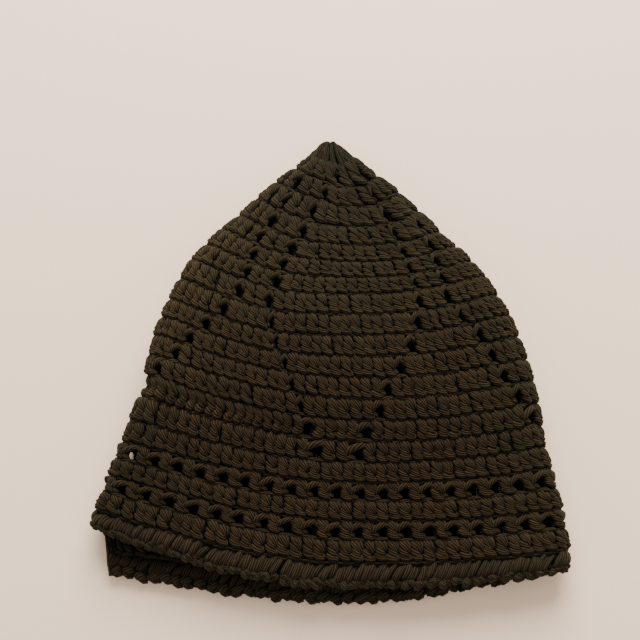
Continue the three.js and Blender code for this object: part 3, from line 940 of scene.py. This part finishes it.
class KufiYarn(bpy.types.PropertyGroup):
    """Look of the yarn."""

    light: bpy.props.FloatVectorProperty(
        name="Ply", description="Colour of the raised plies", subtype="COLOR", size=3, min=0, max=1,
        default=(0.0348, 0.0206, 0.0074))
    # Painted shade in the grooves between the plies
    dark: bpy.props.FloatVectorProperty(
        name="Groove", description="Colour between the plies", subtype="COLOR", size=3, min=0, max=1,
        default=(0.0024, 0.0010, 0.0005))
    edge_light: bpy.props.FloatVectorProperty(
        name="Edging ply", description="Colour of the plies of the edging", subtype="COLOR", size=3, min=0,
        max=1, default=(0.0372, 0.0233, 0.0100))
    # Painted sheen: the tint that paints the fuzz paler and greener
    worn_tint: bpy.props.FloatVectorProperty(
        name="Painted_sheen tint", description="What the colour is multiplied by where the yarn is fuzziest",
        subtype="COLOR", size=3, min=0, max=2, default=(1.0, 1.32, 1.33))
    # How strongly the painted sheen tint shows
    wear: bpy.props.FloatProperty(
        name="Painted_sheen_strength", description="How strongly the worn tint shows", subtype="FACTOR", default=0.9, min=0,
        max=1)
    dye: bpy.props.FloatProperty(
        name="Uneven dye", description="How far the plies turn redder and greener by places",
        subtype="FACTOR", default=0.3, min=0, max=1)
    ply_sharpness: bpy.props.FloatProperty(
        name="Ply sharpness", description="How narrow the light part of a ply is", default=1.4, min=0.2,
        max=5)
    ply_wear: bpy.props.FloatProperty(
        name="Ply wear", description="How far wear evens out the plies", subtype="FACTOR", default=0.22,
        min=0, max=0.5)
    plies: bpy.props.IntProperty(
        name="Plies", description="Ridges round one strand", default=7, min=2, max=20)
    ply_twist: bpy.props.FloatProperty(
        name="Ply twist", description="Turns of a ply in a millimetre of strand", default=-0.075)
    edge_plies: bpy.props.IntProperty(
        name="Edging plies", description="Ridges round one strand of the edging", default=8, min=2, max=20)
    edge_twist: bpy.props.FloatProperty(
        name="Edging twist", description="Turns of a ply in a millimetre of the edging's strands",
        default=-0.07)
    ply_depth: bpy.props.FloatProperty(
        name="Ply depth", description="Strength of the relief of the plies", subtype="FACTOR", default=1.0,
        min=0, max=1)
    fuzz: bpy.props.FloatProperty(
        name="Fuzz", description="Weight of the soft fibre sheen", subtype="FACTOR", default=0.03, min=0,
        max=1)


class KufiStage(bpy.types.PropertyGroup):
    """Floor, light and camera."""

    floor_colour: bpy.props.FloatVectorProperty(
        name="Floor", description="Colour of the plain floor", subtype="COLOR", size=3, min=0, max=1,
        default=(0.97, 0.75, 0.57))
    key_power: bpy.props.FloatProperty(
        name="Key light", description="Power of the large soft light", unit="POWER", default=30.0, min=0)
    sky_strength: bpy.props.FloatProperty(
        name="Room light", description="Strength of the even light of the room", default=0.88, min=0)
    elevation: bpy.props.FloatProperty(
        name="Camera elevation", description="Angle of the camera above the floor", subtype="ANGLE",
        default=math.radians(78))
    distance: bpy.props.FloatProperty(
        name="Camera distance", description="From the camera to the point it looks at", subtype="DISTANCE",
        unit="LENGTH", default=0.7)


# Stage, in metres: the floor's size, the key light's place and size, and the camera's lens
FLOOR_SIZE = 6
KEY_PLACE = (0.06, 0.85, 0.62)
KEY_SIZE = 0.9
KEY_COLOUR = (1.0, 0.98, 0.92)
ROOM_COLOUR = (1.0, 0.93, 0.86)
LOOK_AT = (-4.28 * MM, 24.1 * MM, 0)
IMAGE_PIXELS = 640
PIXEL_SIZE = 0.524 * MM
SENSOR_WIDTH = 36.0
CLIP_START = 0.01
CLIP_END = 20


def finish_piece(piece, node_name):
    """Parents a finished piece to the root body and hides the solid that it stands for."""
    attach(piece, "root")
    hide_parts(node_name)


def crochet(name, strands, web_share, cells, seed, material, node_name,
            looseness=STITCH_LOOSENESS):
    """Models one stitch, copies it over its cells and finishes the piece."""
    if not cells:
        raise RuntimeError("no cells for " + name)
    piece = model_stitch(name, strands, web_share)
    lay_on_wall(piece, cells, seed, looseness)
    piece.data.name = name
    piece.data.materials.clear()
    piece.data.materials.append(material)
    finish_piece(piece, node_name)
    return piece


class KUFI_OT_crown(bpy.types.Operator):
    """Crochets the crown with its petals and their eyelets"""

    bl_idname = "kufi.crown"
    bl_label = "Crown"

    def execute(self, context):
        yarn = context.scene.kufi_yarn
        material = yarn_material("crown_yarn", yarn, yarn.light, yarn.plies, yarn.ply_twist)
        first, tip, upper, under, spaces = [], [], [], [], []
        for number in range(1, CROWN_END + 1):
            stitches, holes = crown_cells(number)
            if number < PETAL_EYELET_FIRST:
                first += stitches
            elif number <= TIP_PIECE_END:
                tip += stitches
            else:
                upper += [cell for cell in stitches if in_layer(cell, True)]
                under += [cell for cell in stitches if in_layer(cell, False)]
            spaces += holes
        crochet("crown_start", TIP_STRANDS, 1, first, 10, material, "crown")
        crochet("crown_tip", STITCH_STRANDS, 1, tip, 11, material, "crown")
        crochet("crown_upper", STITCH_STRANDS, 1, upper, 12, material, "crown")
        crochet("crown_under", STITCH_STRANDS, 1, under, 13, material, "crown")
        crochet("crown_eyelets", SPACE_STRANDS, 0, spaces, 14, material, "crown")
        return {"FINISHED"}


class KUFI_OT_band(bpy.types.Operator):
    """Crochets the band with its two rounds of eyelets"""

    bl_idname = "kufi.band"
    bl_label = "Band"

    def execute(self, context):
        yarn = context.scene.kufi_yarn
        material = yarn_material("band_yarn", yarn, yarn.light, yarn.plies, yarn.ply_twist)
        upper, under, spaces = [], [], []
        for number in range(CROWN_END + 1, BAND_END + 1):
            stitches, holes = band_cells(number)
            upper += [cell for cell in stitches if in_layer(cell, True)]
            under += [cell for cell in stitches if in_layer(cell, False)]
            spaces += holes
        crochet("band_upper", STITCH_STRANDS, 1, upper, 21, material, "band")
        crochet("band_under", STITCH_STRANDS, 1, under, 22, material, "band")
        crochet("band_eyelets", SPACE_STRANDS, 0, spaces, 23, material, "band")
        return {"FINISHED"}


class KUFI_OT_edging(bpy.types.Operator):
    """Crochets the close stitches of the edging round the rim"""

    bl_idname = "kufi.edging"
    bl_label = "Edging"

    def execute(self, context):
        yarn = context.scene.kufi_yarn
        material = yarn_material("edging_yarn", yarn, yarn.edge_light, yarn.edge_plies, yarn.edge_twist)
        cells = [{"start": i / BAND_STITCHES, "end": (i + 1) / BAND_STITCHES, "top": ROUNDS - 1,
                  "bottom": ROUNDS, "pitch": 1 / BAND_STITCHES} for i in range(BAND_STITCHES)]
        crochet("edging_stitches", EDGE_STRANDS, EDGE_WEB_SHARE, cells, 31, material, "edging",
                EDGE_LOOSENESS)
        return {"FINISHED"}


class KUFI_OT_stage(bpy.types.Operator):
    """Sets the plain floor, the soft light and the camera"""

    bl_idname = "kufi.stage"
    bl_label = "Stage"

    def execute(self, context):
        setup = context.scene.kufi_stage
        bpy.ops.object.select_all(action="DESELECT")
        bpy.ops.mesh.primitive_plane_add(size=FLOOR_SIZE, location=(0, 0, CAD_LOW.z - FLOOR_GAP))
        floor = context.object
        floor.name = "floor"
        material = bpy.data.materials.new("floor")
        material.use_nodes = True
        surface = material.node_tree.nodes["Principled BSDF"]
        surface.inputs["Base Color"].default_value = (*setup.floor_colour, 1)
        surface.inputs["Roughness"].default_value = 0.9
        floor.data.materials.append(material)

        world = bpy.data.worlds.new("room")
        context.scene.world = world
        world.use_nodes = True
        room = world.node_tree.nodes["Background"]
        room.inputs["Color"].default_value = (*ROOM_COLOUR, 1)
        room.inputs["Strength"].default_value = setup.sky_strength

        bpy.ops.object.light_add(type="AREA", location=KEY_PLACE)
        key = context.object
        key.name = "key_light"
        key.data.shape = "DISK"
        key.data.size = KEY_SIZE
        key.data.energy = setup.key_power
        key.data.color = KEY_COLOUR
        key.rotation_euler = (Vector((0, 0, 0)) - key.location).to_track_quat("-Z", "Y").to_euler()

        target = Vector(LOOK_AT)
        back = Vector((0, -math.cos(setup.elevation), math.sin(setup.elevation)))
        bpy.ops.object.camera_add(location=target + back * setup.distance)
        camera = context.object
        camera.name = "camera"
        camera.rotation_euler = (-back).to_track_quat("-Z", "Y").to_euler()
        camera.data.sensor_width = SENSOR_WIDTH
        camera.data.lens = SENSOR_WIDTH * setup.distance / (PIXEL_SIZE * IMAGE_PIXELS)
        camera.data.clip_start = CLIP_START
        camera.data.clip_end = CLIP_END
        context.scene.camera = camera
        return {"FINISHED"}


class KUFI_PT_panel(bpy.types.Panel):
    """Lists the pieces of the kufi"""

    bl_label = "Kufi"
    bl_idname = "KUFI_PT_panel"
    bl_space_type = "VIEW_3D"
    bl_region_type = "UI"
    bl_category = "Kufi"

    def draw(self, context):
        layout = self.layout
        for group in (context.scene.kufi_yarn, context.scene.kufi_stage):
            box = layout.box()
            for name in group.__annotations__:
                box.prop(group, name)
        for operator in (KUFI_OT_crown, KUFI_OT_band, KUFI_OT_edging, KUFI_OT_stage):
            layout.operator(operator.bl_idname)


CLASSES = (KufiYarn, KufiStage, KUFI_OT_crown, KUFI_OT_band, KUFI_OT_edging, KUFI_OT_stage, KUFI_PT_panel)


def register():
    for item in CLASSES:
        bpy.utils.register_class(item)
    bpy.types.Scene.kufi_yarn = bpy.props.PointerProperty(type=KufiYarn)
    bpy.types.Scene.kufi_stage = bpy.props.PointerProperty(type=KufiStage)


def unregister():
    del bpy.types.Scene.kufi_stage
    del bpy.types.Scene.kufi_yarn
    for item in reversed(CLASSES):
        bpy.utils.unregister_class(item)


def main():
    register()
    bpy.ops.kufi.crown()
    bpy.ops.kufi.band()
    bpy.ops.kufi.edging()
    bpy.ops.kufi.stage()


if __name__ == "__main__":
    main()
